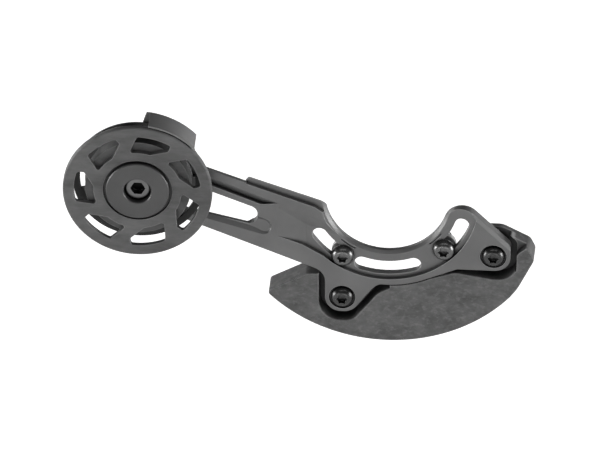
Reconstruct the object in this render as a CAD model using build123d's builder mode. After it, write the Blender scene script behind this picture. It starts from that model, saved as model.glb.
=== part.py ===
from build123d import *
import os
from math import atan2, cos, degrees, radians, sin

os.makedirs("parts", exist_ok=True)

# Lengths are in millimetres. The origin is the crank axis on the mounting plane.
# X points forwards along the bike, Z points up, and the chain side is towards -Y.
# A depth is measured from the mounting plane towards the chain side.

# Mounting ring of the back plate
bolt_circle_r = 36.85
ring_half_width = 8.5
slot_width = 6.8
left_slot = (213.5, 237.0)
middle_slot = (252.0, 290.0)
right_slot = (315.8, 341.0)
inner_r = bolt_circle_r - ring_half_width
outer_r = bolt_circle_r + ring_half_width
inner_bevel = 1.3
bevel_lean = 0.3
ring_left_angle = 205.0
lobe_fade = 3.0
lobe_angles = (100.0, 165.0)

# Levels of the back plate
plate_face = 5.3
recess_face = 3.4
arm_back = 2.0
pocket_face = 3.7
pocket_slope = 52.0
ledge_gap = 0.1
groove_r = 30.6
groove_width = 0.9
groove_depth = 0.5
groove_reach = (9.0, 4.7)
flare_angle = 227.0
flare_bend = (-38.7, -25.0)
flare_end = (-50.5, -20.7)
left_ramp_start = -37.0
left_ramp_end = -50.0
right_ramp_start = 33.0
right_ramp_end = 43.0
top_ramp_start = (-30.7, -17.1)
top_ramp_rise = 5.0

# Ears that carry the skid
ear_r = 7.9
ear_bolt_r = 56.5
left_ear_angle = 249.0
right_ear_angle = 330.8
ear_bore_r = 6.1
ear_bore_depth = 1.2
foot_z = -39.6
slope_angle = 45.0
ear_bevel = 1.5
neck_angles = (264.5, 278.0)
neck_inset = 0.2
neck_lean = 0.55
bridge_x = 32.5
bridge_angles = (292.0, 312.0)
bridge_round = 3.0
ear_top_round = 4.0
ear_slack = 0.5

# Arm and pulley axle
axle = (-113.3, 9.85)
arm_root = (-62.0, -9.3)
arm_end_r = 14.4
axle_boss_r = 9.0
arm_rear_bevel = 1.4
arm_relief_x = -62.0
arm_relief_reach = 60.0
notch_left = (-66.2, 8.0)
notch_floor = (-64.6, 7.3)
notch_round = 0.5
shelf_left = (-63.0, 9.2)
shelf_slope = -0.343
shelf_corner_r = 5.0
shelf_step = 3.4
shelf_rear_bevel = 2.9
shelf_bevel_end = -22.0
shelf_end = -24.0
shelf_corner = -27.9
step_left = -64.4
step_right = -33.0
step_rise = 0.4
step_end_angle = 198.5
cutter_over = 0.6
plate_bevel = 0.35
arm_corner_r = 4.0
pocket_start = 17.0
pocket_top = -3.0
pocket_low = -9.9
pocket_right_top = (-56.0, -14.0)
pocket_right_low = (-50.0, -20.3)
pocket_corner_r = 2.0
pocket_ramp = (-62.0, -49.0)
flute_floor = 3.2
flute_top = (-98.0, 16.4)
flute_tip = (-48.9, -3.2)
flute_bend = (-57.5, -4.2)
flute_bend_r = 6.0
flute_low = (-99.5, 12.5)
flute_ramp = ((-71.1, 1.0), (-69.5, 4.9))
arm_slot_top = (17.0, 4.1)
arm_slot_low = (22.5, -10.6)
arm_slot_right_top = (-59.2, -6.5)
arm_slot_right_low = (-59.2, -16.6)

# Skid
skid_face = 5.0
skid_back = -6.5
skid_wall = 6.3
skid_gap = 0.5
ear_gap_side = 2.8
ear_gap_below = 4.8
moat_floor = -4.0
pad_inset = 0.4
skid_bevel = 0.3
skid_tip = (-56.3, -51.9)
ledge_left = (-36.5, -41.0)
ledge_right = (-20.0, -40.4)
horn_top = -16.8
horn_left = 30.0
horn_corner = 52.8
horn_shoulder = (65.6, -23.4)
horn_point = (68.2, -29.0)
horn_side = (60.2, -45.2)
horn_end = (52.5, -55.5)
skid_below = 90.0
tip_round = 2.0
ledge_round = 5.0
horn_corner_round = 8.0
horn_shoulder_round = 4.0
horn_point_round = 3.0
horn_side_round = 30.0
rim_face = 0.4
pad_low = (59.9, -26.5)
pad_high = (65.4, -21.9)
pad_round = 4.0
left_moat_lean = 0.62
left_moat_bend = (4.5, 265.5)
left_moat_end = (1.5, 272.0)
right_moat_start = 288.0
right_moat_low = (31.5, -2.0)
right_moat_bend = 49.0
moat_slope_gap = 2.2
left_moat_round = 12.0
left_moat_slack = (1.6, -0.9)
right_moat_round = 5.0
moat_ear_round = 8.5
moat_top_round = 4.0

# M6 button-head bolts with six-lobed sockets
thread_r = 3.0
hole_clearance = 0.25
thread_clearance = 0.05
fit_gap = 0.02
button_r = 5.25
button_height = 3.3
button_rim = 0.5
button_flat_r = 2.9
button_mid_r = 4.5
button_mid = 2.25
neck_r = 2.35
socket_r = 1.95
socket_tip_r = 2.75
socket_depth = 2.2
skid_bolt_length = 10.0
mount_bolt_length = 12.0
bolt_tip_bevel = 0.7

# Threaded bushes in the skid and spacers behind the mounting ring
insert_r = 4.0
insert_length = 6.0
spacer_r = 5.4
spacer_thickness = 2.5

# Pulley
pulley_face = 20.6
pulley_width = 12.0
front_flange_r = 34.4
back_flange_r = 30.6
drum_r = 24.3
front_flange = 2.5
back_flange = 1.6
flange_draft = 0.3
face_dish = 1.1
dish_rim = 1.4
rim_bevel = 0.5
window_count = 7
window_inner_r = 20.3
window_outer_r = 29.3
window_depth = 3.6
back_window_depth = 3.0
window_corner = 1.2
window_inner_span = (22.0, 28.0)
window_outer_span = (7.0, 32.0)
window_nose_drop = 3.2
window_nose_angle = 5.5
back_window_gap = 0.5
back_window_r = 27.2
back_window_span = (6.0, 32.0)
hub_bore_r = 15.9
hub_bore_depth = 1.7

# Sealed ball bearing
bearing_bore_r = 7.5
bearing_r = 12.0
bearing_width = 5.0
bearing_lip = 2.4
lip_height = 1.4
ball_r = 1.25
ball_count = 9
race_sides = 12
race_clearance = 0.06
inner_land_drop = 0.9
outer_land_rise = 0.95
seal_step = 0.35
seal_thickness = 0.6
seal_recess = 0.8
seal_inset = 0.1
seal_lip_gap = 0.1
cage_width = 2.3
cage_back = 1.65
cage_thickness = 1.0
pocket_clearance = 0.08
circlip_thickness = 1.2
circlip_groove = 0.6
circlip_width = 1.4
circlip_opening = 50.0

# Cap, spacer and bolt on the axle
cap_r = 14.6
cap_thickness = 2.1
cap_bore_r = 6.3
cap_bevel = 0.4
clamp_r = 8.6
journal_gap = 0.01
journal_short = 0.3
axle_head_r = 5.8
axle_head_height = 4.0
axle_head_sunk = 2.8
axle_hex = 6.0
axle_hex_depth = 3.4
axle_tip = 0.5

# Chain keeper
keeper_web = 1.3
keeper_gap = 0.5
keeper_wall = 1.0
keeper_rim_gap = 0.6
keeper_start = 43.0
keeper_end = 82.0
keeper_lead = 0.2
keeper_round = 0.4
keeper_rear_bevel = 1.5
keeper_left_low = (-5.5, 7.75)
keeper_left_top = (5.0, 40.3)
keeper_top_angle = 64.0
keeper_heel_angle = 37.0
keeper_heel_share = 0.86
keeper_hub_r = 9.5
keeper_screw_at = (-88.3, 10.1)
keeper_ear_r = 4.4
screw_r = 1.5
screw_head_r = 2.75
screw_length = 5.8
screw_hex = 2.0
screw_hex_depth = 1.0

arm_angle = degrees(atan2(arm_root[1] - axle[1], arm_root[0] - axle[0]))


def polar(radius, angle, center=(0, 0)):
    return (center[0] + radius * cos(radians(angle)), center[1] + radius * sin(radians(angle)))


def arm_point(along, across):
    start = polar(along, arm_angle, axle)
    return polar(across, arm_angle + 90, start)


def shifted(point, right, up):
    return (point[0] + right, point[1] + up)


def at_depth(depth, center=(0, 0)):
    return Plane((center[0], -depth, center[1]), x_dir=(1, 0, 0), z_dir=(0, -1, 0))


def section(center):
    return Plane((center[0], 0, center[1]), x_dir=(1, 0, 0), z_dir=(0, 0, -1))


def turning_axis(center):
    return Axis((center[0], 0, center[1]), (0, -1, 0))


def arc_edge(radius, angles):
    return Edge.make_circle(radius, start_angle=angles[0], end_angle=angles[1])


def on_line(start, end, x):
    part_way = (x - start[0]) / (end[0] - start[0])
    return (x, start[1] + part_way * (end[1] - start[1]))


def shelf_line(x):
    return (x, shelf_left[1] + shelf_slope * (x - shelf_left[0]))


def edge_bevel(start, end, level, size, side=1):
    run = Vector(end[0] - start[0], 0, end[1] - start[1])
    along = run.normalized()
    across = Plane((start[0], 0, start[1]), x_dir=(-along.Z, 0, along.X), z_dir=along)
    with BuildPart() as wedge:
        with BuildSketch(across):
            with BuildLine():
                Polyline(
                    (cutter_over, level + side * (size + cutter_over)),
                    (-size - cutter_over, level - side * cutter_over),
                    (cutter_over, level - side * cutter_over),
                    close=True,
                )
            make_face()
        extrude(amount=run.length)
    return wedge.part


def end_bevel(center, radius, angles, level, size):
    out = Vector(*polar(1, angles[0]))
    across = Plane((center[0], 0, center[1]), x_dir=(out.X, 0, out.Y), z_dir=(out.Y, 0, -out.X))
    with BuildPart() as cone:
        with BuildSketch(across):
            with BuildLine():
                Polyline(
                    (radius + cutter_over, level - size - cutter_over),
                    (radius - size - 2 * cutter_over, level + 2 * cutter_over),
                    (radius + cutter_over, level + 2 * cutter_over),
                    close=True,
                )
            make_face()
        revolve(axis=turning_axis(center), revolution_arc=angles[1] - angles[0])
    return cone.part


def ramp(low, high, level):
    run = (high[0] - low[0], high[1] - low[1])
    steep = (plate_face - level) / (run[0] ** 2 + run[1] ** 2)
    normal = (-steep * run[0], -1, -steep * run[1])
    return Plane((low[0], -level, low[1]), x_dir=(-run[1], 0, run[0]), z_dir=normal)


def button_bolt(center, seat, length, neck):
    tip = seat - length
    top = seat + button_height
    rim = seat + button_rim
    with BuildPart() as bolt:
        with BuildSketch(section(center)):
            with BuildLine():
                Polyline(
                    (0, top),
                    (0, tip),
                    (thread_r - bolt_tip_bevel, tip),
                    (thread_r, tip + bolt_tip_bevel),
                    (thread_r, seat - neck),
                    (neck_r, seat - neck),
                    (neck_r, seat),
                    (button_r, seat),
                    (button_r, rim),
                )
                ThreePointArc((button_r, rim), (button_mid_r, seat + button_mid), (button_flat_r, top))
                Line((button_flat_r, top), (0, top))
            make_face()
        revolve(axis=turning_axis(center))
        with BuildSketch(at_depth(top, center)):
            with BuildLine():
                lobes = [polar(socket_r if point % 2 else socket_tip_r, 30 * point) for point in range(12)]
                Polyline(*lobes, close=True)
            make_face()
        extrude(amount=-socket_depth, mode=Mode.SUBTRACT)
    return bolt.part


def ball(center):
    step = 360 / race_sides
    with BuildPart() as bead:
        with BuildSketch(section(center)):
            with BuildLine():
                turns = [step * corner - 90 for corner in range(race_sides // 2 + 1)]
                Polyline(*[polar(ball_r, turn, (0, ball_level)) for turn in turns], close=True)
            make_face()
        revolve(axis=turning_axis(center))
    return bead.part


left_ear = polar(ear_bolt_r, left_ear_angle)
right_ear = polar(ear_bolt_r, right_ear_angle)
mount_points = [polar(bolt_circle_r, left_slot[1]), polar(bolt_circle_r, right_slot[0])]
lobe = polar(bolt_circle_r, right_slot[1])
ledge_r = bolt_circle_r + button_r + ledge_gap
skid_r = ear_bolt_r + ear_r + ear_gap_below + skid_wall
ear_round = ear_r - ear_slack

# Levels along the axle
pulley_back = pulley_face - pulley_width
hub_face = pulley_face - face_dish
hub_floor = hub_face - hub_bore_depth
bearing_back = pulley_back + bearing_lip
bearing_front = bearing_back + bearing_width
ball_level = bearing_back + bearing_width / 2
pitch_r = (bearing_bore_r + bearing_r) / 2
race_r = ball_r + race_clearance
inner_land_r = pitch_r - inner_land_drop
outer_land_r = pitch_r + outer_land_rise
seal_r = outer_land_r + seal_step
keeper_seat = pulley_back - keeper_gap
keeper_back = keeper_seat - keeper_web
keeper_inner_r = front_flange_r + keeper_rim_gap
keeper_r = keeper_inner_r + keeper_wall

# Milled recess round the mounting slots, with soft rises to the full face
recess_rise = plate_face - recess_face
top_ramp_end = shifted(top_ramp_start, -top_ramp_rise * shelf_slope, top_ramp_rise)
with BuildPart() as left_recess:
    with BuildSketch(at_depth(recess_face)):
        with BuildLine():
            CenterArc((0, 0), ledge_r, flare_angle, 270 - flare_angle)
            Polyline(
                polar(ledge_r, flare_angle),
                flare_bend,
                flare_end,
                (flare_end[0], 0),
                (0, 0),
                (0, -ledge_r),
            )
        make_face()
    extrude(amount=2 * recess_rise)
    split(bisect_by=ramp((left_ramp_start, 0), (left_ramp_end, 0), recess_face))
    split(bisect_by=ramp(top_ramp_start, top_ramp_end, recess_face))

with BuildPart() as right_recess:
    with BuildSketch(at_depth(recess_face)):
        with BuildLine():
            CenterArc((0, 0), ledge_r, 270, 90)
            Polyline((ledge_r, 0), (0, 0), (0, -ledge_r))
        make_face()
    extrude(amount=2 * recess_rise)
    split(bisect_by=ramp((right_ramp_start, 0), (right_ramp_end, 0), recess_face))

# Flute along the upper flange of the arm, deepest beside the slot
with BuildPart() as arm_flute:
    with BuildSketch(at_depth(flute_floor)):
        with BuildLine():
            FilletPolyline(
                flute_top,
                flute_tip,
                flute_bend,
                flute_low,
                radius=[0, 0, flute_bend_r, 0],
                close=True,
            )
        make_face()
    extrude(amount=2 * (plate_face - flute_floor))
    split(bisect_by=ramp(*flute_ramp, flute_floor))

# Pocket below the slot of the arm, fading out towards the ring
with BuildPart() as arm_pocket:
    with BuildSketch(at_depth(pocket_face)):
        with BuildLine():
            FilletPolyline(
                arm_point(pocket_start, pocket_top),
                pocket_right_top,
                pocket_right_low,
                arm_point(pocket_start, pocket_low),
                radius=pocket_corner_r,
                close=True,
            )
        make_face()
    extrude(amount=2 * (plate_face - pocket_face), taper=-pocket_slope)
    split(bisect_by=ramp((pocket_ramp[0], 0), (pocket_ramp[1], 0), pocket_face))

# Bevels behind the arm and the shelf, and in front of the right ear's slope and the round end of the ring
foot = (left_ear[0] - ear_r, foot_z)
arm_low = arm_point(0, -arm_end_r)
slope_start = polar(ring_half_width, slope_angle, lobe)
ear_top_z = slope_start[0] + slope_start[1] - right_ear[0] - ear_r
ear_top = (right_ear[0] + ear_r, ear_top_z)
bevel_start = shifted(slope_start, -ear_r, ear_r)
bevel_end = shifted(ear_top, ear_r, -ear_r)
lobe_center = polar(lobe_fade, right_slot[1] - 270, lobe)
bevels = [
    edge_bevel(arm_point(0, arm_end_r), notch_floor, arm_back, arm_rear_bevel),
    edge_bevel(on_line(foot, arm_low, arm_relief_x - arm_back), arm_low, arm_back, arm_rear_bevel),
    edge_bevel(shelf_line(notch_floor[0]), shelf_line(shelf_bevel_end), 0, shelf_rear_bevel),
    edge_bevel(bevel_start, bevel_end, plate_face, ear_bevel, -1),
    end_bevel(lobe_center, ring_half_width, lobe_angles, recess_face, inner_bevel),
]

plate_rounds = [0] + 3 * [notch_round] + 3 * [0] + [ear_r, ear_round, ear_round, ear_r, 0]
left_groove = (left_slot[1] - groove_reach[0], left_slot[1] + groove_reach[1])
right_groove = (right_slot[0] - groove_reach[1], right_slot[0] + groove_reach[0])
with BuildPart() as back_plate:
    with BuildSketch(at_depth(0)) as outline:
        with BuildLine():
            FilletPolyline(
                arm_point(0, arm_end_r),
                notch_left,
                notch_floor,
                shelf_left,
                shelf_line(shelf_end),
                polar(inner_r - ring_half_width, left_slot[1]),
                polar(outer_r - neck_inset, neck_angles[1]),
                polar(outer_r - neck_inset, neck_angles[0]),
                shifted(left_ear, neck_lean * ear_r, -ear_r),
                shifted(left_ear, -ear_r, -ear_r),
                foot,
                arm_low,
                radius=plate_rounds,
                close=True,
            )
        make_face()
        SlotArc(arc_edge(bolt_circle_r, (ring_left_angle, right_slot[1])), 2 * ring_half_width)
        with BuildLine():
            FilletPolyline(
                slope_start,
                ear_top,
                shifted(right_ear, ear_r, -ear_r),
                (bridge_x, right_ear[1] - ear_r),
                polar(outer_r, bridge_angles[0]),
                polar(bolt_circle_r, bridge_angles[1]),
                radius=[0, ear_top_round, ear_round, bridge_round, 0, 0],
                close=True,
            )
        make_face()
        with Locations(axle):
            Circle(arm_end_r)
        Circle(inner_r, mode=Mode.SUBTRACT)
        corner = outline.vertices().sort_by_distance(shelf_line(shelf_corner))[0]
        fillet(corner, radius=shelf_corner_r)
    extrude(amount=plate_face)
    chamfer(back_plate.edges().group_by(Axis.Y)[0], length=plate_bevel)
    # Rear of the arm is thinner, apart from the boss for the axle thread
    with BuildSketch(at_depth(0)):
        with BuildLine():
            Polyline(
                (arm_relief_x, arm_relief_reach),
                (arm_relief_x, -arm_relief_reach),
                (axle[0] - arm_relief_reach, -arm_relief_reach),
                (axle[0] - arm_relief_reach, arm_relief_reach),
                close=True,
            )
        make_face()
    extrude(amount=arm_back, taper=45, mode=Mode.SUBTRACT)
    add(bevels, mode=Mode.SUBTRACT)
    # Step along the top edge
    with BuildSketch(at_depth(recess_face)):
        with BuildLine():
            Polyline(
                (step_left, inner_r),
                shifted(shelf_line(step_left), 0, step_rise - shelf_step),
                shifted(shelf_line(step_right), 0, -shelf_step),
                polar(inner_r, step_end_angle),
                (0, -ring_half_width),
                (0, inner_r),
                close=True,
            )
        make_face()
    extrude(amount=plate_face, mode=Mode.SUBTRACT)
    add(left_recess.part, mode=Mode.SUBTRACT)
    add(right_recess.part, mode=Mode.SUBTRACT)
    add(arm_flute.part, mode=Mode.SUBTRACT)
    add(arm_pocket.part, mode=Mode.SUBTRACT)
    # Bosses under the chain keeper
    with BuildSketch(at_depth(0)):
        with Locations(axle):
            Circle(axle_boss_r)
    extrude(amount=keeper_back)
    with BuildSketch(at_depth(arm_back)):
        with Locations(keeper_screw_at):
            Circle(keeper_ear_r)
    extrude(amount=keeper_back - arm_back)
    # Short grooves beside the heads of the mount bolts
    with BuildSketch(at_depth(recess_face)):
        SlotArc(arc_edge(groove_r, left_groove), groove_width)
        SlotArc(arc_edge(groove_r, right_groove), groove_width)
    extrude(amount=-groove_depth, mode=Mode.SUBTRACT)
    # Slots of the mounting ring and of the arm
    with BuildSketch(at_depth(0)):
        for angles in (left_slot, middle_slot, right_slot):
            SlotArc(arc_edge(bolt_circle_r, angles), slot_width)
        with BuildLine():
            FilletPolyline(
                arm_point(*arm_slot_top),
                arm_slot_right_top,
                arm_slot_right_low,
                arm_point(*arm_slot_low),
                radius=arm_corner_r,
                close=True,
            )
        make_face()
    extrude(amount=2 * plate_face, both=True, mode=Mode.SUBTRACT)
    # Bevel round the inside of the ring
    with BuildSketch(section((0, 0))):
        with BuildLine():
            Polyline(
                (inner_r - 1, recess_face - inner_bevel - 1),
                (inner_r - 1, recess_face + plate_face),
                (inner_r + inner_bevel + bevel_lean * plate_face, recess_face + plate_face),
                (inner_r + inner_bevel, recess_face),
                close=True,
            )
        make_face()
    revolve(axis=turning_axis((0, 0)), mode=Mode.SUBTRACT)
    # Sunk seats and holes for the skid bolts
    with BuildSketch(at_depth(plate_face)):
        with Locations(left_ear, right_ear):
            Circle(ear_bore_r)
    extrude(amount=-ear_bore_depth, mode=Mode.SUBTRACT)
    with BuildSketch(at_depth(0)):
        with Locations(left_ear, right_ear):
            Circle(thread_r + hole_clearance)
        with Locations(axle):
            Circle(thread_r + thread_clearance)
        with Locations(keeper_screw_at):
            Circle(screw_r + thread_clearance)
    extrude(amount=keeper_back, mode=Mode.SUBTRACT)
back_plate.part.label = "back_plate"
export_step(back_plate.part, "parts/back_plate.step")

# Skid with the two ears of the plate let into its front
skid_inner_r = outer_r + skid_gap
moat_sum = ear_top[0] + ear_top[1] + moat_slope_gap / sin(radians(slope_angle))
skid_rounds = [0, ledge_round, 0, 0, 0, horn_corner_round, horn_shoulder_round, horn_point_round]
skid_rounds += [horn_side_round, 0, 0, 0]
pad_end = on_line(pad_low, pad_high, horn_point[0] + ear_r)
with BuildPart() as skid:
    with BuildSketch(at_depth(skid_back)) as skid_outline:
        with BuildLine():
            FilletPolyline(
                skid_tip,
                ledge_left,
                ledge_right,
                (0, 0),
                (horn_left, horn_top),
                (horn_corner, horn_top),
                horn_shoulder,
                horn_point,
                horn_side,
                horn_end,
                (horn_end[0], -skid_below),
                (skid_tip[0], -skid_below),
                radius=skid_rounds,
                close=True,
            )
        make_face()
        Circle(skid_r, mode=Mode.INTERSECT)
        Circle(skid_inner_r, mode=Mode.SUBTRACT)
        fillet(skid_outline.vertices().sort_by_distance(skid_tip)[0], radius=tip_round)
    extrude(amount=skid_face - skid_back)
    with BuildSketch(at_depth(moat_floor)):
        with BuildLine():
            FilletPolyline(
                (left_ear[0] - ear_r - ear_gap_side, -inner_r),
                shifted(left_ear, -ear_r - ear_gap_side, -ear_r - ear_gap_below),
                shifted(left_ear, left_moat_lean * ear_r, -ear_r - ear_gap_below),
                polar(skid_inner_r + left_moat_bend[0], left_moat_bend[1]),
                polar(skid_inner_r + left_moat_end[0], left_moat_end[1]),
                polar(outer_r, left_moat_end[1]),
                (0, -inner_r),
                radius=[0, ear_r + left_moat_slack[0], ear_r + left_moat_slack[1], left_moat_round, 0, 0, 0],
                close=True,
            )
        make_face()
        with BuildLine():
            FilletPolyline(
                polar(outer_r, right_moat_start),
                (right_moat_low[0], right_ear[1] - ear_r + right_moat_low[1]),
                (right_moat_bend, right_ear[1] - ear_r - ear_gap_below),
                shifted(right_ear, ear_r + ear_gap_side, -ear_r - ear_gap_below),
                (right_ear[0] + ear_r + ear_gap_side, moat_sum - right_ear[0] - ear_r - ear_gap_side),
                (moat_sum + ring_half_width, -ring_half_width),
                (0, -ring_half_width),
                radius=[0, right_moat_round, right_moat_round, moat_ear_round, moat_top_round, 0, 0],
                close=True,
            )
        make_face()
    extrude(amount=2 * skid_face - moat_floor, mode=Mode.SUBTRACT)
    chamfer(skid.edges().group_by(Axis.Y)[0], length=skid_bevel)
    # Lower rim behind the right ear, beside the full-height pad
    with BuildSketch(at_depth(rim_face)):
        with BuildLine():
            FilletPolyline(
                (right_ear[0], -ring_half_width),
                (pad_end[0], -ring_half_width),
                pad_end,
                pad_low,
                (pad_low[0], right_ear[1] - ear_r),
                (right_ear[0], right_ear[1] - ear_r),
                radius=[0, 0, 0, pad_round, 0, 0],
                close=True,
            )
        make_face()
    extrude(amount=2 * skid_face, mode=Mode.SUBTRACT)
    with BuildSketch(at_depth(moat_floor)):
        with Locations(left_ear, right_ear):
            Circle(ear_r - pad_inset)
    extrude(amount=-moat_floor)
    with BuildSketch(at_depth(skid_back)):
        with Locations(left_ear, right_ear):
            Circle(insert_r)
    extrude(amount=-skid_back, mode=Mode.SUBTRACT)
skid.part.label = "skid"
export_step(skid.part, "parts/skid.step")

# Threaded bushes in the skid
with BuildPart() as skid_inserts:
    with BuildSketch(at_depth(-insert_length)):
        with Locations(left_ear, right_ear):
            Circle(insert_r - fit_gap)
            Circle(thread_r + thread_clearance, mode=Mode.SUBTRACT)
    extrude(amount=insert_length)
skid_inserts.part.label = "skid_inserts"
export_step(skid_inserts.part, "parts/skid_inserts.step")

# Bolts through the ears, and bolts in the mounting slots with their spacers
ear_seat = plate_face - ear_bore_depth
ear_bolts = [button_bolt(ear, ear_seat, skid_bolt_length, ear_seat) for ear in (left_ear, right_ear)]
with BuildPart() as skid_bolts:
    add(ear_bolts)
skid_bolts.part.label = "skid_bolts"
export_step(skid_bolts.part, "parts/skid_bolts.step")

slot_neck = recess_face + spacer_thickness
slot_bolts = [button_bolt(point, recess_face, mount_bolt_length, slot_neck) for point in mount_points]
with BuildPart() as mount_bolts:
    add(slot_bolts)
mount_bolts.part.label = "mount_bolts"
export_step(mount_bolts.part, "parts/mount_bolts.step")

with BuildPart() as mount_spacers:
    with BuildSketch(at_depth(-spacer_thickness)):
        with Locations(*mount_points):
            Circle(spacer_r)
            Circle(thread_r + hole_clearance, mode=Mode.SUBTRACT)
    extrude(amount=spacer_thickness)
mount_spacers.part.label = "mount_spacers"
export_step(mount_spacers.part, "parts/mount_spacers.step")

# Windows of the pulley, cut from both faces into the groove
window_step = 360 / window_count
with BuildPart() as windows:
    with BuildSketch(at_depth(pulley_face, axle)) as window_sketch:
        for turn in range(window_count):
            start = turn * window_step
            with BuildLine():
                inner = CenterArc((0, 0), window_inner_r, start + window_inner_span[0], window_inner_span[1])
                outer = CenterArc((0, 0), window_outer_r, start + window_outer_span[0], window_outer_span[1])
                nose = polar(window_outer_r - window_nose_drop, start + window_nose_angle)
                Line(inner @ 1, outer @ 1)
                Polyline(outer @ 0, nose, inner @ 0)
            make_face()
        fillet(window_sketch.vertices(), radius=window_corner)
    extrude(amount=-window_depth)
    with BuildSketch(at_depth(pulley_back, axle)):
        for turn in range(window_count):
            start = turn * window_step + back_window_span[0]
            with BuildLine():
                inner = CenterArc((0, 0), drum_r + back_window_gap, start, back_window_span[1])
                outer = CenterArc((0, 0), back_window_r, start, back_window_span[1])
                Line(inner @ 0, outer @ 0)
                Line(inner @ 1, outer @ 1)
            make_face()
    extrude(amount=back_window_depth)

with BuildPart() as pulley:
    with BuildSketch(section(axle)):
        with BuildLine():
            Polyline(
                (bearing_r - lip_height, pulley_back),
                (back_flange_r - rim_bevel, pulley_back),
                (back_flange_r, pulley_back + rim_bevel),
                (back_flange_r, pulley_back + back_flange - flange_draft),
                (drum_r, pulley_back + back_flange + flange_draft),
                (drum_r, pulley_face - front_flange - flange_draft),
                (front_flange_r, pulley_face - front_flange + flange_draft),
                (front_flange_r, pulley_face - rim_bevel),
                (front_flange_r - rim_bevel, pulley_face),
                (front_flange_r - dish_rim, pulley_face),
                (hub_bore_r, hub_face),
                (hub_bore_r, hub_floor),
                (bearing_r, hub_floor),
                (bearing_r, bearing_front + circlip_thickness),
                (bearing_r + circlip_groove, bearing_front + circlip_thickness),
                (bearing_r + circlip_groove, bearing_front),
                (bearing_r, bearing_front),
                (bearing_r, bearing_back),
                (bearing_r - lip_height, bearing_back),
                close=True,
            )
        make_face()
    revolve(axis=turning_axis(axle))
    add(windows.part, mode=Mode.SUBTRACT)
pulley.part.label = "pulley"
export_step(pulley.part, "parts/pulley.step")

# Sealed ball bearing
with BuildPart() as bearing_outer_ring:
    with BuildSketch(section(axle)):
        with BuildLine():
            Polyline(
                (seal_r, bearing_back),
                (bearing_r, bearing_back),
                (bearing_r, bearing_front),
                (seal_r, bearing_front),
                (seal_r, bearing_front - seal_recess),
                (outer_land_r, bearing_front - seal_recess),
                (outer_land_r, bearing_back + seal_recess),
                (seal_r, bearing_back + seal_recess),
                close=True,
            )
        make_face()
        with Locations((pitch_r, ball_level)):
            RegularPolygon(race_r, race_sides, major_radius=False, mode=Mode.SUBTRACT)
    revolve(axis=turning_axis(axle))
bearing_outer_ring.part.label = "bearing_outer_ring"
export_step(bearing_outer_ring.part, "parts/bearing_outer_ring.step")

with BuildPart() as bearing_inner_ring:
    with BuildSketch(section(axle)):
        with BuildLine():
            Polyline(
                (bearing_bore_r, bearing_back),
                (inner_land_r, bearing_back),
                (inner_land_r, bearing_front),
                (bearing_bore_r, bearing_front),
                close=True,
            )
        make_face()
        with Locations((pitch_r, ball_level)):
            RegularPolygon(race_r, race_sides, major_radius=False, mode=Mode.SUBTRACT)
    revolve(axis=turning_axis(axle))
bearing_inner_ring.part.label = "bearing_inner_ring"
export_step(bearing_inner_ring.part, "parts/bearing_inner_ring.step")

ball_places = [polar(pitch_r, turn * 360 / ball_count, axle) for turn in range(ball_count)]
balls = [ball(place) for place in ball_places]
with BuildPart() as bearing_balls:
    add(balls)
bearing_balls.part.label = "bearing_balls"
export_step(bearing_balls.part, "parts/bearing_balls.step")

pocket_r = ball_r + pocket_clearance
with BuildPart() as bearing_cage:
    with BuildSketch(at_depth(ball_level - cage_back, axle)):
        Circle(pitch_r + cage_thickness / 2)
        Circle(pitch_r - cage_thickness / 2, mode=Mode.SUBTRACT)
    extrude(amount=cage_width)
    with BuildSketch(at_depth(ball_level - pocket_r, axle)):
        with PolarLocations(pitch_r, ball_count):
            Circle(pocket_r)
    extrude(amount=cage_width, mode=Mode.SUBTRACT)
bearing_cage.part.label = "bearing_cage"
export_step(bearing_cage.part, "parts/bearing_cage.step")

with BuildPart() as bearing_seal_front:
    with BuildSketch(at_depth(bearing_front - seal_inset, axle)) as seal_ring:
        Circle(seal_r - fit_gap)
        Circle(inner_land_r + seal_lip_gap, mode=Mode.SUBTRACT)
    extrude(amount=-seal_thickness)
bearing_seal_front.part.label = "bearing_seal_front"
export_step(bearing_seal_front.part, "parts/bearing_seal_front.step")

with BuildPart() as bearing_seal_rear:
    with BuildSketch(at_depth(bearing_back + seal_inset, axle)):
        add(seal_ring.sketch_local)
    extrude(amount=seal_thickness)
bearing_seal_rear.part.label = "bearing_seal_rear"
export_step(bearing_seal_rear.part, "parts/bearing_seal_rear.step")

with BuildPart() as bearing_circlip:
    with BuildSketch(at_depth(bearing_front, axle)):
        Circle(bearing_r + circlip_groove - fit_gap)
        Circle(bearing_r + circlip_groove - circlip_width, mode=Mode.SUBTRACT)
        with BuildLine():
            Polyline(
                (0, 0),
                polar(2 * bearing_r, 90 - circlip_opening / 2),
                polar(2 * bearing_r, 90 + circlip_opening / 2),
                close=True,
            )
        make_face(mode=Mode.SUBTRACT)
    extrude(amount=circlip_thickness)
bearing_circlip.part.label = "bearing_circlip"
export_step(bearing_circlip.part, "parts/bearing_circlip.step")

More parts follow.
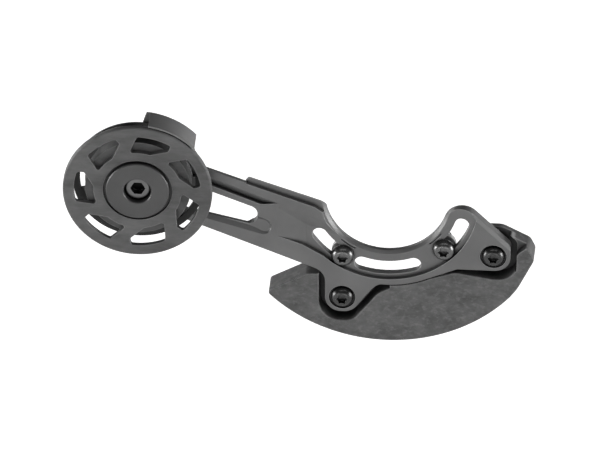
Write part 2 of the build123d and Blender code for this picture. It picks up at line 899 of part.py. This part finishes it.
# Cap with the journal for the bearing, clamped by the axle bolt
axle_hole_r = thread_r + hole_clearance
head_floor = pulley_face - axle_head_sunk - axle_head_height
journal_r = bearing_bore_r - journal_gap
with BuildPart() as bearing_cap:
    with BuildSketch(section(axle)):
        with BuildLine():
            Polyline(
                (axle_hole_r, bearing_back + journal_short),
                (journal_r, bearing_back + journal_short),
                (journal_r, bearing_front),
                (clamp_r, bearing_front),
                (clamp_r, pulley_face - cap_thickness),
                (cap_r, pulley_face - cap_thickness),
                (cap_r, pulley_face - cap_bevel),
                (cap_r - cap_bevel, pulley_face),
                (cap_bore_r + cap_bevel, pulley_face),
                (cap_bore_r, pulley_face - cap_bevel),
                (cap_bore_r, head_floor),
                (axle_hole_r, head_floor),
                close=True,
            )
        make_face()
    revolve(axis=turning_axis(axle))
bearing_cap.part.label = "bearing_cap"
export_step(bearing_cap.part, "parts/bearing_cap.step")

with BuildPart() as axle_spacer:
    with BuildSketch(at_depth(keeper_seat, axle)):
        Circle(clamp_r)
        Circle(axle_hole_r, mode=Mode.SUBTRACT)
    extrude(amount=bearing_back - keeper_seat)
axle_spacer.part.label = "axle_spacer"
export_step(axle_spacer.part, "parts/axle_spacer.step")

with BuildPart() as axle_bolt:
    with BuildSketch(section(axle)):
        with BuildLine():
            Polyline(
                (0, head_floor + axle_head_height),
                (0, axle_tip),
                (thread_r - bolt_tip_bevel, axle_tip),
                (thread_r, axle_tip + bolt_tip_bevel),
                (thread_r, head_floor),
                (axle_head_r, head_floor),
                (axle_head_r, head_floor + axle_head_height - cap_bevel),
                (axle_head_r - cap_bevel, head_floor + axle_head_height),
                close=True,
            )
        make_face()
    revolve(axis=turning_axis(axle))
    with BuildSketch(at_depth(head_floor + axle_head_height, axle)):
        RegularPolygon(axle_hex / 2, 6, major_radius=False)
    extrude(amount=-axle_hex_depth, mode=Mode.SUBTRACT)
axle_bolt.part.label = "axle_bolt"
export_step(axle_bolt.part, "parts/axle_bolt.step")

# Chain keeper: a web clamped behind the pulley with a lip over the rims
keeper_ear = shifted(keeper_screw_at, -axle[0], -axle[1])
screw_neck = keeper_seat - screw_head_r + screw_r
with BuildPart() as chain_keeper:
    with BuildSketch(at_depth(keeper_back, axle)) as web:
        Circle(keeper_hub_r)
        with Locations(keeper_ear):
            Circle(keeper_ear_r)
        make_hull(web.edges())
        with BuildLine():
            Polyline(
                keeper_left_low,
                keeper_left_top,
                polar(2 * keeper_r, keeper_top_angle),
                polar(keeper_r, keeper_start),
                polar(keeper_heel_share * keeper_r, keeper_heel_angle),
                shifted(keeper_ear, keeper_ear_r, 0),
                (0, 0),
                close=True,
            )
        make_face()
        Circle(keeper_r, mode=Mode.INTERSECT)
        Circle(axle_hole_r, mode=Mode.SUBTRACT)
    extrude(amount=keeper_web)
    with BuildSketch(at_depth(keeper_back, axle)):
        Circle(keeper_r)
        Circle(keeper_inner_r, mode=Mode.SUBTRACT)
        with BuildLine():
            Polyline(
                (0, 0),
                polar(2 * keeper_r, keeper_start),
                polar(2 * keeper_r, keeper_end),
                close=True,
            )
        make_face(mode=Mode.INTERSECT)
    extrude(amount=pulley_face - keeper_lead - keeper_back)
    front_edges = chain_keeper.edges().group_by(Axis.Y)[0]
    fillet(front_edges.filter_by(GeomType.CIRCLE), radius=keeper_round)
    with BuildSketch(section(axle)):
        with BuildLine():
            Polyline(
                (keeper_r - keeper_rear_bevel, keeper_back),
                (keeper_r + cutter_over, keeper_back + keeper_rear_bevel + cutter_over),
                (keeper_r + cutter_over, keeper_back),
                close=True,
            )
        make_face()
    revolve(axis=turning_axis(axle), mode=Mode.SUBTRACT)
    with BuildSketch(section(keeper_screw_at)):
        with BuildLine():
            Polyline(
                (0, keeper_back),
                (screw_r + thread_clearance, keeper_back),
                (screw_r + thread_clearance, screw_neck),
                (screw_head_r + thread_clearance, keeper_seat),
                (0, keeper_seat),
                close=True,
            )
        make_face()
    revolve(axis=turning_axis(keeper_screw_at), mode=Mode.SUBTRACT)
chain_keeper.part.label = "chain_keeper"
export_step(chain_keeper.part, "parts/chain_keeper.step")

with BuildPart() as keeper_screw:
    with BuildSketch(section(keeper_screw_at)):
        with BuildLine():
            Polyline(
                (0, keeper_seat - screw_length),
                (screw_r, keeper_seat - screw_length),
                (screw_r, screw_neck),
                (screw_head_r, keeper_seat),
                (0, keeper_seat),
                close=True,
            )
        make_face()
    revolve(axis=turning_axis(keeper_screw_at))
    with BuildSketch(at_depth(keeper_seat, keeper_screw_at)):
        RegularPolygon(screw_hex / 2, 6, major_radius=False)
    extrude(amount=-screw_hex_depth, mode=Mode.SUBTRACT)
keeper_screw.part.label = "keeper_screw"
export_step(keeper_screw.part, "parts/keeper_screw.step")
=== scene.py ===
import math

import bpy
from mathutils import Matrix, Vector


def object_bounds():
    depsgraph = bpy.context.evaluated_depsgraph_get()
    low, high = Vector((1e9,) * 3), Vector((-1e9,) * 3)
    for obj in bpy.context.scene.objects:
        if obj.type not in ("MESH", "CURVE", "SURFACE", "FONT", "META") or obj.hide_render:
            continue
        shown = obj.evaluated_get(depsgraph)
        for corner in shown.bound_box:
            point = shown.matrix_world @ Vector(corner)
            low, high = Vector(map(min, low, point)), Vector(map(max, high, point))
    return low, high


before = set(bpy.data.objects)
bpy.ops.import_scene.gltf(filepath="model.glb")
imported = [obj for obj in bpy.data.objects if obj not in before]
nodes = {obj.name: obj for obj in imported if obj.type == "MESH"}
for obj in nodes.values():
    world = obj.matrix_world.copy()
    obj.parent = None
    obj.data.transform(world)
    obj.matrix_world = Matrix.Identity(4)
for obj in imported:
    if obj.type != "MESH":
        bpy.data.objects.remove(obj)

cadBox = [list(corner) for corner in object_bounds()]
print("frame loaded:", len(nodes), "nodes")

# Places in X and Z of the crank's axis and the pulley's axle, which both run along Y
crankMm = (0.0, 0.0)
axleMm = (-113.3, 9.85)


def metres(millimetres):
    return millimetres / 1000


# Scale of a pattern that repeats at this size
def perMetre(millimetres):
    return 1000 / millimetres


# sRGB hex value to linear color
def linearColor(hexCode):
    channels = [int(hexCode[i:i + 2], 16) / 255 for i in (1, 3, 5)]
    return [c / 12.92 if c <= 0.04045 else ((c + 0.055) / 1.055) ** 2.4 for c in channels] + [1.0]


# An input is linked when its value is a socket, and filled in otherwise
def addNode(tree, kind, settings=None, inputs=None):
    node = tree.nodes.new(kind)
    for name, value in (settings or {}).items():
        setattr(node, name, value)
    for name, value in (inputs or {}).items():
        if isinstance(value, bpy.types.NodeSocket):
            tree.links.new(value, node.inputs[name])
        else:
            node.inputs[name].default_value = value
    return node


# Empty node tree of a new material or world
def emptyTree(owner):
    owner.use_nodes = True
    owner.node_tree.nodes.clear()
    return owner.node_tree


def dress(material, *names):
    for name in names:
        nodes[name].data.materials.clear()
        nodes[name].data.materials.append(material)


# Lays a color over what the shader shows so far: full at the first limit of a value, gone at the second
def paintOver(tree, shader, value, limits, hexCode):
    share = addNode(tree, "ShaderNodeMapRange", inputs={
        "Value": value, "From Min": limits[0], "From Max": limits[1], "To Min": 1.0, "To Max": 0.0})
    under = shader.inputs["Base Color"].links[0].from_socket
    mix = addNode(tree, "ShaderNodeMix", {"data_type": "RGBA"}, {
        0: share.outputs["Result"], 6: under, 7: linearColor(hexCode)})  # 6 and 7 are the two colors
    tree.links.new(mix.outputs[2], shader.inputs["Base Color"])  # 2 is the mixed color


# What all finishes share, unless one has its own
sharedLook = {
    "streak": (1, 1, 1), "cloudDetail": 4.0, "cloudRoughness": 0.6, "toneStops": (0.3, 0.7),
    "grainDetail": 2.0, "edgeSamples": 6, "specular": 0.5,
    "ior": 1.5,  # Blender's own, which the metals keep
    "scuffDetail": 5.0, "scuffRoughness": 0.7, "wearAndEdgeHighlightFrom": (0.3, 0.85), "shadeSamples": 8,
}


# A fine-grained surface: two close tones in soft clouds, scuffs on some finishes, paler edges that are partly
# rubbed wear and partly a painted highlight, painted shade darkening narrow recesses, a grain in the gloss
# and relief, and softened edges
def grainedMaterial(name, finish):
    look = dict(sharedLook, **finish)
    material = bpy.data.materials.new(name)
    tree = emptyTree(material)
    shader = addNode(tree, "ShaderNodeBsdfPrincipled", inputs={
        "IOR": look["ior"], "Specular IOR Level": look["specular"], "Metallic": look["metallic"]})
    addNode(tree, "ShaderNodeOutputMaterial", inputs={"Surface": shader.outputs["BSDF"]})
    coords = addNode(tree, "ShaderNodeTexCoord").outputs["Object"]
    drawn = addNode(tree, "ShaderNodeMapping", inputs={"Vector": coords, "Scale": look["streak"]})
    cloud = addNode(tree, "ShaderNodeTexNoise", inputs={
        "Vector": drawn.outputs["Vector"], "Scale": perMetre(look["cloudMm"]),
        "Detail": look["cloudDetail"], "Roughness": look["cloudRoughness"]})
    tone = addNode(tree, "ShaderNodeValToRGB", inputs={"Fac": cloud.outputs["Fac"]})
    for stop, place, shade in zip(tone.color_ramp.elements, look["toneStops"], ("dark", "light")):
        stop.position = place
        stop.color = linearColor(look[shade])
    tree.links.new(tone.outputs["Color"], shader.inputs["Base Color"])
    if "scuff" in look:
        dragged = addNode(tree, "ShaderNodeMapping", inputs={
            "Vector": coords, "Scale": look["scuffStretch"],
            "Rotation": (0, math.radians(look["scuffAngle"]), 0)})
        scuffs = addNode(tree, "ShaderNodeTexNoise", inputs={
            "Vector": dragged.outputs["Vector"], "Scale": perMetre(look["scuffMm"]),
            "Detail": look["scuffDetail"], "Roughness": look["scuffRoughness"]})
        paintOver(tree, shader, scuffs.outputs["Fac"], look["scuffFrom"], look["scuff"])
    # Paler edges: partly rubbed wear, partly a painted highlight along the edges
    corner = addNode(tree, "ShaderNodeAmbientOcclusion", {
        "samples": look["shadeSamples"], "inside": True, "only_local": True}, {
        "Distance": metres(look["wearAndEdgeHighlightMm"])})
    paintOver(tree, shader, corner.outputs["AO"], look["wearAndEdgeHighlightFrom"], look["wearAndEdgeHighlight"])
    # Painted shade: the colour darkens in narrow recesses and corners, where shade falls
    shadeInRecess = addNode(tree, "ShaderNodeAmbientOcclusion", {"samples": look["shadeSamples"]}, {
        "Distance": metres(look["recessShadeMm"])})
    paintOver(tree, shader, shadeInRecess.outputs["AO"], look["recessShadeFrom"], look["recessShade"])
    grain = addNode(tree, "ShaderNodeTexNoise", inputs={
        "Vector": coords, "Scale": perMetre(look["grainMm"]), "Detail": look["grainDetail"]})
    rough = addNode(tree, "ShaderNodeMapRange", inputs={
        "Value": grain.outputs["Fac"], "To Min": look["roughness"][0], "To Max": look["roughness"][1]})
    tree.links.new(rough.outputs["Result"], shader.inputs["Roughness"])
    edge = addNode(tree, "ShaderNodeBevel", {"samples": look["edgeSamples"]}, {
        "Radius": metres(look["edgeMm"])})
    bump = addNode(tree, "ShaderNodeBump", inputs={
        "Height": grain.outputs["Fac"], "Distance": metres(look["grainDepthMm"]),
        "Strength": look["grainStrength"], "Normal": edge.outputs["Normal"]})
    tree.links.new(bump.outputs["Normal"], shader.inputs["Normal"])
    return material, tree, shader, coords


# Distance from an axis along Y, in metres
def axisReach(tree, coords, centerMm):
    place = addNode(tree, "ShaderNodeMapping", inputs={
        "Vector": coords, "Location": (-metres(centerMm[0]), 0, -metres(centerMm[1])), "Scale": (1, 0, 1)})
    reach = addNode(tree, "ShaderNodeVectorMath", {"operation": "LENGTH"}, {
        "Vector": place.outputs["Vector"]})
    return reach.outputs["Value"]


# Ridges on top of the relief, evenly spaced along a distance and only on one side of a limit
def addRidges(tree, shader, distance, ridges):
    phase = addNode(tree, "ShaderNodeMath", {"operation": "MULTIPLY"}, {
        0: distance, 1: 2 * math.pi * perMetre(ridges["everyMm"])})
    wave = addNode(tree, "ShaderNodeMath", {"operation": "SINE"}, {0: phase.outputs["Value"]})
    kept = addNode(tree, "ShaderNodeMath", {"operation": ridges["side"]}, {
        0: distance, 1: metres(ridges["limitMm"])})
    height = addNode(tree, "ShaderNodeMath", {"operation": "MULTIPLY"}, {
        0: wave.outputs["Value"], 1: kept.outputs["Value"]})
    relief = addNode(tree, "ShaderNodeBump", inputs={
        "Height": height.outputs["Value"], "Distance": metres(ridges["depthMm"]),
        "Strength": ridges["strength"], "Normal": shader.inputs["Normal"].links[0].from_socket})
    tree.links.new(relief.outputs["Normal"], shader.inputs["Normal"])


# Black anodised aluminium, milled and bead blasted: an even satin grey-black with a fine grain, softly broken
# edges painted paler as wear and as a painted highlight, and faint rings from the cutter round the mounting
# slots
anodisedPlate = {
    "dark": "#575757", "light": "#626262", "cloudMm": 24.0,
    "grainMm": 0.9,  # real grain is about 0.1 mm, drawn coarser so that it shows
    "grainDepthMm": 0.02, "grainStrength": 0.35, "roughness": (0.36, 0.46), "edgeMm": 0.35,
    "specular": 0.4, "metallic": 0.5,
    "recessShade": "#111111", "recessShadeMm": 1.8, "recessShadeFrom": (0.35, 0.88), "wearAndEdgeHighlight": "#959595", "wearAndEdgeHighlightMm": 0.6,
}
cutterRings = {
    "everyMm": 1.2,  # real rings are finer, drawn coarser so that they show
    "depthMm": 0.012, "strength": 0.6, "side": "LESS_THAN", "limitMm": 42.0,
}
plateMaterial, tree, shader, coords = grainedMaterial("anodisedPlate", anodisedPlate)
addRidges(tree, shader, axisReach(tree, coords, crankMm), cutterRings)
dress(plateMaterial, "back_plate")

# Moulded nylon: duller, blotched where the melt flowed and scuffed, with a spark-eroded mould texture
mouldedNylon = {
    "dark": "#353535", "light": "#595959", "cloudMm": 9.0, "streak": (0.8, 1, 1.2),
    "cloudDetail": 8.0, "cloudRoughness": 0.72,
    "grainMm": 1.1,  # mould texture is about 0.2 mm, drawn coarser so that it shows
    "grainDepthMm": 0.03, "grainStrength": 0.45, "roughness": (0.50, 0.66), "edgeMm": 0.5,
    "ior": 1.53, "specular": 0.35, "metallic": 0.0,
    "scuff": "#6a6a6a", "scuffMm": 2.4, "scuffAngle": -35.0,
    "scuffStretch": (0.7, 1, 1.1), "scuffFrom": (0.8, 0.5),
    "recessShade": "#0c0c0c", "recessShadeMm": 9.0, "recessShadeFrom": (0.1, 0.75), "wearAndEdgeHighlight": "#979797", "wearAndEdgeHighlightMm": 0.9,
}
dress(grainedMaterial("mouldedNylon", mouldedNylon)[0], "skid")

# Moulded acetal pulley: smoother than the skid, with a slight sheen, faint rubbing marks along X and
# painted shade blackening the side walls of its groove
mouldedAcetal = {
    "dark": "#363636", "light": "#5d5d5d", "cloudMm": 14.0, "streak": (0.45, 1, 1.5),
    "cloudDetail": 6.0, "cloudRoughness": 0.66,
    "grainMm": 0.9,  # fine mould texture, drawn coarser so that it shows
    "grainDepthMm": 0.02, "grainStrength": 0.3, "roughness": (0.42, 0.54), "edgeMm": 0.35,
    "ior": 1.48, "specular": 0.35, "metallic": 0.0,
    "recessShade": "#101010", "recessShadeMm": 3.0, "recessShadeFrom": (0.05, 0.65), "wearAndEdgeHighlight": "#808080", "wearAndEdgeHighlightMm": 0.6,
}
# Painted shade: the side walls of the groove are painted black
grooveShade = {"color": "#141414", "outsideMm": 26.0, "betweenMm": (-18.35, -9.87)}
pulleyMaterial, tree, shader, coords = grainedMaterial("mouldedAcetal", mouldedAcetal)
depth = addNode(tree, "ShaderNodeSeparateXYZ", inputs={"Vector": coords}).outputs["Y"]
inGroove = addNode(tree, "ShaderNodeMath", {"operation": "GREATER_THAN"}, {
    0: axisReach(tree, coords, axleMm), 1: metres(grooveShade["outsideMm"])}).outputs["Value"]
for operation, wallMm in zip(("GREATER_THAN", "LESS_THAN"), grooveShade["betweenMm"]):
    side = addNode(tree, "ShaderNodeMath", {"operation": operation}, {0: depth, 1: metres(wallMm)})
    inGroove = addNode(tree, "ShaderNodeMath", {"operation": "MULTIPLY"}, {
        0: inGroove, 1: side.outputs["Value"]}).outputs["Value"]
paintOver(tree, shader, inGroove, (1, 0), grooveShade["color"])  # 1 in the groove and 0 elsewhere
dress(pulleyMaterial, "pulley")

# Keeper of the same acetal, painted a little paler as painted light for its upturned face
keeperLitAcetal = dict(mouldedAcetal, dark="#636363", light="#707070")
dress(grainedMaterial("keeperLitAcetal", keeperLitAcetal)[0], "chain_keeper")

# Turned and anodised cap: darker than the plate, with faint lathe rings round the axle
turnedCap = dict(anodisedPlate, dark="#3f3f3f", light="#464646", wearAndEdgeHighlight="#5c5c5c")
latheRings = {
    "everyMm": 0.8,  # real rings are about 0.1 mm apart, drawn coarser so that they show
    "depthMm": 0.01, "strength": 0.6, "side": "LESS_THAN", "limitMm": 15.0,
}
capMaterial, tree, shader, coords = grainedMaterial("turnedCap", turnedCap)
addRidges(tree, shader, axisReach(tree, coords, axleMm), latheRings)
dress(capMaterial, "bearing_cap")

# Black oxide steel: dark and glossy, so that it carries bright highlights, with M6 thread on the shanks, and
# a darker copy for the skid's bolts as painted shade
blackOxide = {
    "dark": "#525252", "light": "#5c5c5c", "cloudMm": 6.0,
    "grainMm": 0.7,  # real grain is far finer, drawn coarser so that it shows
    "grainDepthMm": 0.01, "grainStrength": 0.2, "roughness": (0.24, 0.32), "edgeMm": 0.25, "metallic": 0.95,
    "recessShade": "#0a0a0a", "recessShadeMm": 2.0, "recessShadeFrom": (0.1, 0.7), "wearAndEdgeHighlight": "#777777", "wearAndEdgeHighlightMm": 0.3,
}
# Painted shade: a darker copy of the oxide for the skid's bolts
shadedOxide = dict(blackOxide, dark="#383838", light="#424242", wearAndEdgeHighlight="#626262")
boltThread = {
    "everyMm": 1.0,  # pitch of M6
    "depthMm": 0.3, "strength": 0.9, "side": "GREATER_THAN", "limitMm": 2.5,
}
boltLooks = {
    "blackOxide": {"finish": blackOxide, "pieces": ("mount_bolts", "keeper_screw")},
    "shadedOxide": {"finish": shadedOxide, "pieces": ("skid_bolts",)},
}
for name, bolt in boltLooks.items():
    boltMaterial, tree, shader, coords = grainedMaterial(name, bolt["finish"])
    along = addNode(tree, "ShaderNodeSeparateXYZ", inputs={"Vector": coords}).outputs["Y"]
    addRidges(tree, shader, along, boltThread)
    dress(boltMaterial, *bolt["pieces"])

# Phosphated axle bolt: its head keeps its grey tone round the socket, with painted shade darkening the rim
# of the head and blackening the socket
phosphated = dict(blackOxide, dark="#5a5a5a", light="#666666", roughness=(0.28, 0.38))
# Painted shade: a dark ring at the rim of the head and black in the socket
headShadeRings = {
    "rim": {"color": "#2c2c2c", "fadeMm": (5.3, 4.8)},
    "socket": {"color": "#090909", "fadeMm": (2.95, 3.15)},
}
axleMaterial, tree, shader, coords = grainedMaterial("phosphated", phosphated)
reach = axisReach(tree, coords, axleMm)
for ring in headShadeRings.values():
    paintOver(tree, shader, reach, [metres(limit) for limit in ring["fadeMm"]], ring["color"])
dress(axleMaterial, "axle_bolt")

# Plain turned aluminium: pale grey metal with a soft sheen
turnedAluminium = {
    "dark": "#b9b9b9", "light": "#c6c6c6", "cloudMm": 5.0,
    "grainMm": 0.6,  # real tool marks are far finer, drawn coarser so that they show
    "grainDepthMm": 0.01, "grainStrength": 0.3, "roughness": (0.34, 0.46), "edgeMm": 0.2, "metallic": 0.8,
    "recessShade": "#4a4a4a", "recessShadeMm": 1.5, "recessShadeFrom": (0.1, 0.7), "wearAndEdgeHighlight": "#d2d2d2", "wearAndEdgeHighlightMm": 0.3,
}
dress(grainedMaterial("turnedAluminium", turnedAluminium)[0], "mount_spacers", "axle_spacer")

# Turned brass inserts: yellow metal with the same soft sheen
turnedBrass = dict(
    turnedAluminium, dark="#b08f4e", light="#c2a262", metallic=1.0, recessShade="#5a4826", wearAndEdgeHighlight="#cfae6c")
dress(grainedMaterial("turnedBrass", turnedBrass)[0], "skid_inserts")

# Ground bearing steel: bright and nearly mirror smooth
groundSteel = dict(
    turnedAluminium, dark="#b4b5b8", light="#c0c1c4", metallic=1.0, roughness=(0.12, 0.22), recessShadeMm=0.3)
dress(grainedMaterial("groundSteel", groundSteel)[0],
      "bearing_outer_ring", "bearing_inner_ring", "bearing_balls", "bearing_circlip")

# Glass-filled nylon ball cage: tan and dull
cageNylon = dict(
    mouldedNylon, dark="#8f7a58", light="#a08a66", cloudMm=4.0, edgeMm=0.1,
    scuff="#ab9570", recessShade="#5a4a30", recessShadeMm=0.3, wearAndEdgeHighlight="#b09a76", wearAndEdgeHighlightMm=0.1)
dress(grainedMaterial("cageNylon", cageNylon)[0], "bearing_cage")

# Nitrile rubber seals: black and matte
nitrileRubber = dict(
    mouldedNylon, dark="#1d1d1d", light="#242424", cloudMm=5.0, edgeMm=0.1, roughness=(0.55, 0.7),
    scuff="#2a2a2a", recessShadeMm=0.3, wearAndEdgeHighlight="#2c2c2c", wearAndEdgeHighlightMm=0.1)
dress(grainedMaterial("nitrileRubber", nitrileRubber)[0], "bearing_seal_front", "bearing_seal_rear")
print("materials set:", len(bpy.data.materials))

# Pale floor well below the part, because the part hangs on its bolts
floorLook = {"color": "#f2f2f2", "dropMm": 120.0, "sizeMm": 8000.0, "glow": 0.8}
floorZ = cadBox[0][2] - metres(floorLook["dropMm"])
bpy.ops.object.select_all(action="DESELECT")
bpy.ops.mesh.primitive_plane_add(size=metres(floorLook["sizeMm"]), location=(0, 0, floorZ))
floor = bpy.context.object
floor.name = "floor"
floorMaterial = bpy.data.materials.new("paleFloor")
tree = emptyTree(floorMaterial)
matte = addNode(tree, "ShaderNodeBsdfDiffuse", inputs={"Color": linearColor(floorLook["color"])})
rays = addNode(tree, "ShaderNodeLightPath")
seen = addNode(tree, "ShaderNodeMath", {"operation": "MAXIMUM"}, {
    0: rays.outputs["Is Camera Ray"], 1: rays.outputs["Is Glossy Ray"]})
seen = addNode(tree, "ShaderNodeMath", {"operation": "MAXIMUM"}, {
    0: seen.outputs["Value"], 1: rays.outputs["Is Transmission Ray"]})
glow = addNode(tree, "ShaderNodeMath", {"operation": "MULTIPLY"}, {
    0: seen.outputs["Value"], 1: floorLook["glow"]})
lift = addNode(tree, "ShaderNodeEmission", inputs={"Strength": glow.outputs["Value"]})
both = addNode(tree, "ShaderNodeAddShader", inputs={0: matte.outputs["BSDF"], 1: lift.outputs["Emission"]})
addNode(tree, "ShaderNodeOutputMaterial", inputs={"Surface": both.outputs["Shader"]})
floor.data.materials.append(floorMaterial)

# Low pale wall all round, so that level views end in white too
wallLook = {"radiusMm": 3500.0, "heightMm": 900.0, "sides": 64}
wallHeight = metres(wallLook["heightMm"])
bpy.ops.object.select_all(action="DESELECT")
bpy.ops.mesh.primitive_cylinder_add(
    vertices=wallLook["sides"], radius=metres(wallLook["radiusMm"]), depth=wallHeight,
    end_fill_type="NOTHING", location=(0, 0, floorZ + wallHeight / 2))
wall = bpy.context.object
wall.name = "backdrop"
wall.data.materials.append(floorMaterial)

# Dim even sky as fill light, so that grooves stay dark
worldLook = {"color": "#ffffff", "fill": 0.12}
world = bpy.data.worlds.new("studio")
bpy.context.scene.world = world
tree = emptyTree(world)
sky = addNode(tree, "ShaderNodeBackground", inputs={
    "Color": linearColor(worldLook["color"]), "Strength": worldLook["fill"]})
addNode(tree, "ShaderNodeOutputWorld", inputs={"Surface": sky.outputs["Background"]})

# Soft boxes all round, level with the part, and a weak strip above the front, in metres and facing the part
partCenter = Vector((-0.03, 0, -0.015))
softBoxes = {
    "frontBox": {"place": (-0.10, -1.30, -0.12), "size": (1.6, 0.5), "watts": 8.5},
    "rightBox": {"place": (1.10, -0.25, -0.02), "size": (0.5, 0.5), "watts": 13.0},
    "leftBox": {"place": (-1.20, -0.25, -0.02), "size": (0.5, 0.5), "watts": 13.0},
    "topStrip": {"place": (0.10, -0.65, 1.05), "size": (1.4, 0.15), "watts": 2.6},
    "backBox": {"place": (-0.05, 1.30, -0.12), "size": (1.2, 0.4), "watts": 9.0},
}
for name, box in softBoxes.items():
    lamp = bpy.data.lights.new(name, "AREA")
    lamp.shape = "RECTANGLE"
    lamp.size, lamp.size_y = box["size"]
    lamp.energy = box["watts"]
    holder = bpy.data.objects.new(name, lamp)
    holder.location = box["place"]
    holder.rotation_euler = (partCenter - holder.location).to_track_quat("-Z", "Y").to_euler()
    holder.visible_camera = False
    bpy.context.collection.objects.link(holder)
print("floor and lights set")

# Camera at the photograph's angle, aimed at the point that stands at the middle of the frame
cameraLook = {
    "azimuth": 4.27, "elevation": 32.43, "aimMm": (-40.0, 0.0, -17.9), "distanceMm": 2500.0,
    "widthPixels": 600, "pixelsPerMm": 2.18, "clipMm": (50.0, 50000.0),
}
turn = math.radians(cameraLook["azimuth"])
tilt = math.radians(cameraLook["elevation"])
back = Vector((math.sin(turn) * math.cos(tilt), -math.cos(turn) * math.cos(tilt), math.sin(tilt)))
cameraData = bpy.data.cameras.new("camera")
cameraData.type = "ORTHO"
cameraData.ortho_scale = metres(cameraLook["widthPixels"] / cameraLook["pixelsPerMm"])
cameraData.clip_start, cameraData.clip_end = [metres(limit) for limit in cameraLook["clipMm"]]
camera = bpy.data.objects.new("camera", cameraData)
camera.location = metres(Vector(cameraLook["aimMm"]) + back * cameraLook["distanceMm"])
camera.rotation_euler = (-back).to_track_quat("-Z", "Y").to_euler()
bpy.context.collection.objects.link(camera)
bpy.context.scene.camera = camera
bpy.context.scene.view_settings.view_transform = "Standard"
print("camera set, frame width", round(cameraData.ortho_scale, 4), "m")
